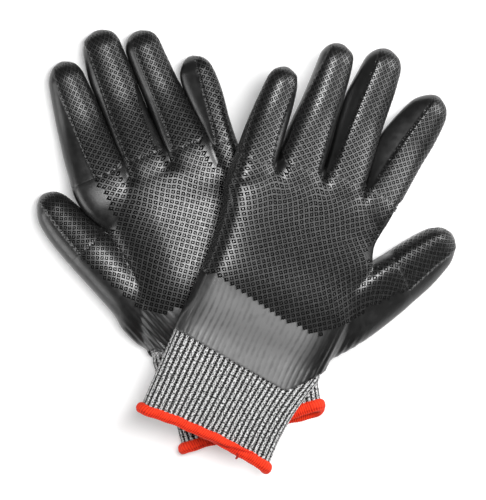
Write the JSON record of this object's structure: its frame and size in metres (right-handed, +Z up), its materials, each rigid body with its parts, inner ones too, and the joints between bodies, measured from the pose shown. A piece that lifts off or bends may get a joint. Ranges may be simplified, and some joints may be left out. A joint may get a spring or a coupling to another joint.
{
  "type": "pair of work gloves",
  "caption": "Pair of knit work gloves dipped in black rubber with an embossed diamond grip, grey rib cuffs and orange-red hems, one glove lying crossed on the other.",
  "frame": {"origin": "on the floor under the middle of the left glove's palm, at the flat back that it lies on", "axes": "+X to the right and +Y away from the cuffs as the pair is seen from above, +Z up out of the palms"},
  "size_m": [0.254, 0.267, 0.058],
  "materials": {
    "rubber_coat": "smooth satin black rubber dip",
    "rubber_grip": "black rubber embossed with diamond ridges and studs",
    "knit_liner": "fine seamless grey knit",
    "knit_cuff": "light grey heather rib knit with black flecks",
    "elastic_yarn": "covered elastic yarn",
    "hem_thread": "orange-red overlock thread"
  },
  "bodies": {
    "left_hand": {"left_hand_coat": "rubber_coat", "left_hand_liner": "knit_liner", "left_palm_grip": "rubber_grip", "left_cuff_knit": "knit_cuff", "left_cuff_elastic": "elastic_yarn", "left_hem_overlock": "hem_thread"},
    "left_index_base": {"left_index_base_coat": "rubber_coat", "left_index_base_liner": "knit_liner"},
    "left_index_tip": {"left_index_tip_coat": "rubber_coat", "left_index_tip_liner": "knit_liner"},
    "left_middle_base": {"left_middle_base_coat": "rubber_coat", "left_middle_base_liner": "knit_liner"},
    "left_middle_tip": {"left_middle_tip_coat": "rubber_coat", "left_middle_tip_liner": "knit_liner"},
    "left_ring_base": {"left_ring_base_coat": "rubber_coat", "left_ring_base_liner": "knit_liner"},
    "left_ring_tip": {"left_ring_tip_coat": "rubber_coat", "left_ring_tip_liner": "knit_liner"},
    "left_little_base": {"left_little_base_coat": "rubber_coat", "left_little_base_liner": "knit_liner"},
    "left_little_tip": {"left_little_tip_coat": "rubber_coat", "left_little_tip_liner": "knit_liner"},
    "left_thumb_base": {"left_thumb_base_coat": "rubber_coat", "left_thumb_base_liner": "knit_liner"},
    "left_thumb_tip": {"left_thumb_tip_coat": "rubber_coat", "left_thumb_tip_liner": "knit_liner"},
    "right_hand": {"right_hand_coat": "rubber_coat", "right_hand_liner": "knit_liner", "right_palm_grip": "rubber_grip", "right_cuff_knit": "knit_cuff", "right_cuff_elastic": "elastic_yarn", "right_hem_overlock": "hem_thread", "right_hem_tail": "hem_thread"},
    "right_index_base": {"right_index_base_coat": "rubber_coat", "right_index_base_liner": "knit_liner"},
    "right_index_tip": {"right_index_tip_coat": "rubber_coat", "right_index_tip_liner": "knit_liner"},
    "right_middle_base": {"right_middle_base_coat": "rubber_coat", "right_middle_base_liner": "knit_liner"},
    "right_middle_tip": {"right_middle_tip_coat": "rubber_coat", "right_middle_tip_liner": "knit_liner"},
    "right_ring_base": {"right_ring_base_coat": "rubber_coat", "right_ring_base_liner": "knit_liner"},
    "right_ring_tip": {"right_ring_tip_coat": "rubber_coat", "right_ring_tip_liner": "knit_liner"},
    "right_little_base": {"right_little_base_coat": "rubber_coat", "right_little_base_liner": "knit_liner"},
    "right_little_tip": {"right_little_tip_coat": "rubber_coat", "right_little_tip_liner": "knit_liner"},
    "right_thumb_base": {"right_thumb_base_coat": "rubber_coat", "right_thumb_base_liner": "knit_liner"},
    "right_thumb_tip": {"right_thumb_tip_coat": "rubber_coat", "right_thumb_tip_liner": "knit_liner"}
  },
  "joints": [
    {"name": "right_glove_lift", "type": "slide", "parent": "left_hand", "child": "right_hand", "axis": [0, 0, 1], "range_m": [0, 0.12]},
    {"name": "left_index_root_bend", "type": "hinge", "parent": "left_hand", "child": "left_index_base", "pos_m": [-0.05425, 0.03166, 0.0203], "axis": [0.9272, 0.3746, 0], "range_deg": [0, 75], "stiffness_Nm_per_rad": 0.03},
    {"name": "left_index_middle_bend", "type": "hinge", "parent": "left_index_base", "child": "left_index_tip", "pos_m": [-0.06689, 0.06295, 0.01872], "axis": [0.9272, 0.3746, 0], "range_deg": [0, 80], "stiffness_Nm_per_rad": 0.03},
    {"name": "left_middle_root_bend", "type": "hinge", "parent": "left_hand", "child": "left_middle_base", "pos_m": [-0.03051, 0.04292, 0.0203], "axis": [0.9367, 0.3502, 0], "range_deg": [0, 75], "stiffness_Nm_per_rad": 0.03},
    {"name": "left_middle_middle_bend", "type": "hinge", "parent": "left_middle_base", "child": "left_middle_tip", "pos_m": [-0.04422, 0.07959, 0.01872], "axis": [0.9367, 0.3502, 0], "range_deg": [0, 80], "stiffness_Nm_per_rad": 0.03},
    {"name": "left_ring_root_bend", "type": "hinge", "parent": "left_hand", "child": "left_ring_base", "pos_m": [-0.00497, 0.04951, 0.0203], "axis": [0.9232, 0.3843, 0], "range_deg": [0, 75], "stiffness_Nm_per_rad": 0.03},
    {"name": "left_ring_middle_bend", "type": "hinge", "parent": "left_ring_base", "child": "left_ring_tip", "pos_m": [-0.01915, 0.08357, 0.01872], "axis": [0.9232, 0.3843, 0], "range_deg": [0, 80], "stiffness_Nm_per_rad": 0.03},
    {"name": "left_little_root_bend", "type": "hinge", "parent": "left_hand", "child": "left_little_base", "pos_m": [0.01987, 0.05315, 0.0188], "axis": [0.9397, 0.342, 0], "range_deg": [0, 75], "stiffness_Nm_per_rad": 0.03},
    {"name": "left_little_middle_bend", "type": "hinge", "parent": "left_little_base", "child": "left_little_tip", "pos_m": [0.01018, 0.07979, 0.01734], "axis": [0.9397, 0.342, 0], "range_deg": [0, 80], "stiffness_Nm_per_rad": 0.03},
    {"name": "left_thumb_root_bend", "type": "hinge", "parent": "left_hand", "child": "left_thumb_base", "pos_m": [-0.05939, -0.00872, 0.0238], "axis": [0.7193, 0.6947, 0], "range_deg": [0, 45], "stiffness_Nm_per_rad": 0.03},
    {"name": "left_thumb_middle_bend", "type": "hinge", "parent": "left_thumb_base", "child": "left_thumb_tip", "pos_m": [-0.07376, 0.00617, 0.02173], "axis": [0.7193, 0.6947, 0], "range_deg": [0, 60], "stiffness_Nm_per_rad": 0.03},
    {"name": "right_index_root_bend", "type": "hinge", "parent": "right_hand", "child": "right_index_base", "pos_m": [0.11148, 0.01854, 0.03356], "axis": [0.8237, -0.5022, -0.2632], "range_deg": [0, 75], "stiffness_Nm_per_rad": 0.03},
    {"name": "right_index_middle_bend", "type": "hinge", "parent": "right_index_base", "child": "right_index_tip", "pos_m": [0.12827, 0.0477, 0.03047], "axis": [0.8237, -0.5022, -0.2632], "range_deg": [0, 80], "stiffness_Nm_per_rad": 0.03},
    {"name": "right_middle_root_bend", "type": "hinge", "parent": "right_hand", "child": "right_middle_base", "pos_m": [0.08863, 0.02946, 0.04056], "axis": [0.8996, -0.3453, -0.2672], "range_deg": [0, 75], "stiffness_Nm_per_rad": 0.03},
    {"name": "right_middle_middle_bend", "type": "hinge", "parent": "right_middle_base", "child": "right_middle_tip", "pos_m": [0.10226, 0.06616, 0.03904], "axis": [0.8996, -0.3453, -0.2672], "range_deg": [0, 80], "stiffness_Nm_per_rad": 0.03},
    {"name": "right_ring_root_bend", "type": "hinge", "parent": "right_hand", "child": "right_ring_base", "pos_m": [0.06398, 0.03571, 0.04756], "axis": [0.9057, -0.329, -0.2672], "range_deg": [0, 75], "stiffness_Nm_per_rad": 0.03},
    {"name": "right_ring_middle_bend", "type": "hinge", "parent": "right_ring_base", "child": "right_ring_tip", "pos_m": [0.07623, 0.07052, 0.04621], "axis": [0.9057, -0.329, -0.2672], "range_deg": [0, 80], "stiffness_Nm_per_rad": 0.03},
    {"name": "right_little_root_bend", "type": "hinge", "parent": "right_hand", "child": "right_little_base", "pos_m": [0.0396, 0.03918, 0.05266], "axis": [0.9116, -0.3125, -0.2671], "range_deg": [0, 75], "stiffness_Nm_per_rad": 0.03},
    {"name": "right_little_middle_bend", "type": "hinge", "parent": "right_little_base", "child": "right_little_tip", "pos_m": [0.0485, 0.06611, 0.05152], "axis": [0.9116, -0.3125, -0.2671], "range_deg": [0, 80], "stiffness_Nm_per_rad": 0.03},
    {"name": "right_thumb_root_bend", "type": "hinge", "parent": "right_hand", "child": "right_thumb_base", "pos_m": [0.12241, -0.02917, 0.02962], "axis": [0.4883, -0.8469, -0.2106], "range_deg": [0, 45], "stiffness_Nm_per_rad": 0.03},
    {"name": "right_thumb_middle_bend", "type": "hinge", "parent": "right_thumb_base", "child": "right_thumb_tip", "pos_m": [0.13921, -0.01815, 0.02422], "axis": [0.4883, -0.8469, -0.2106], "range_deg": [0, 60], "stiffness_Nm_per_rad": 0.03}
  ]
}
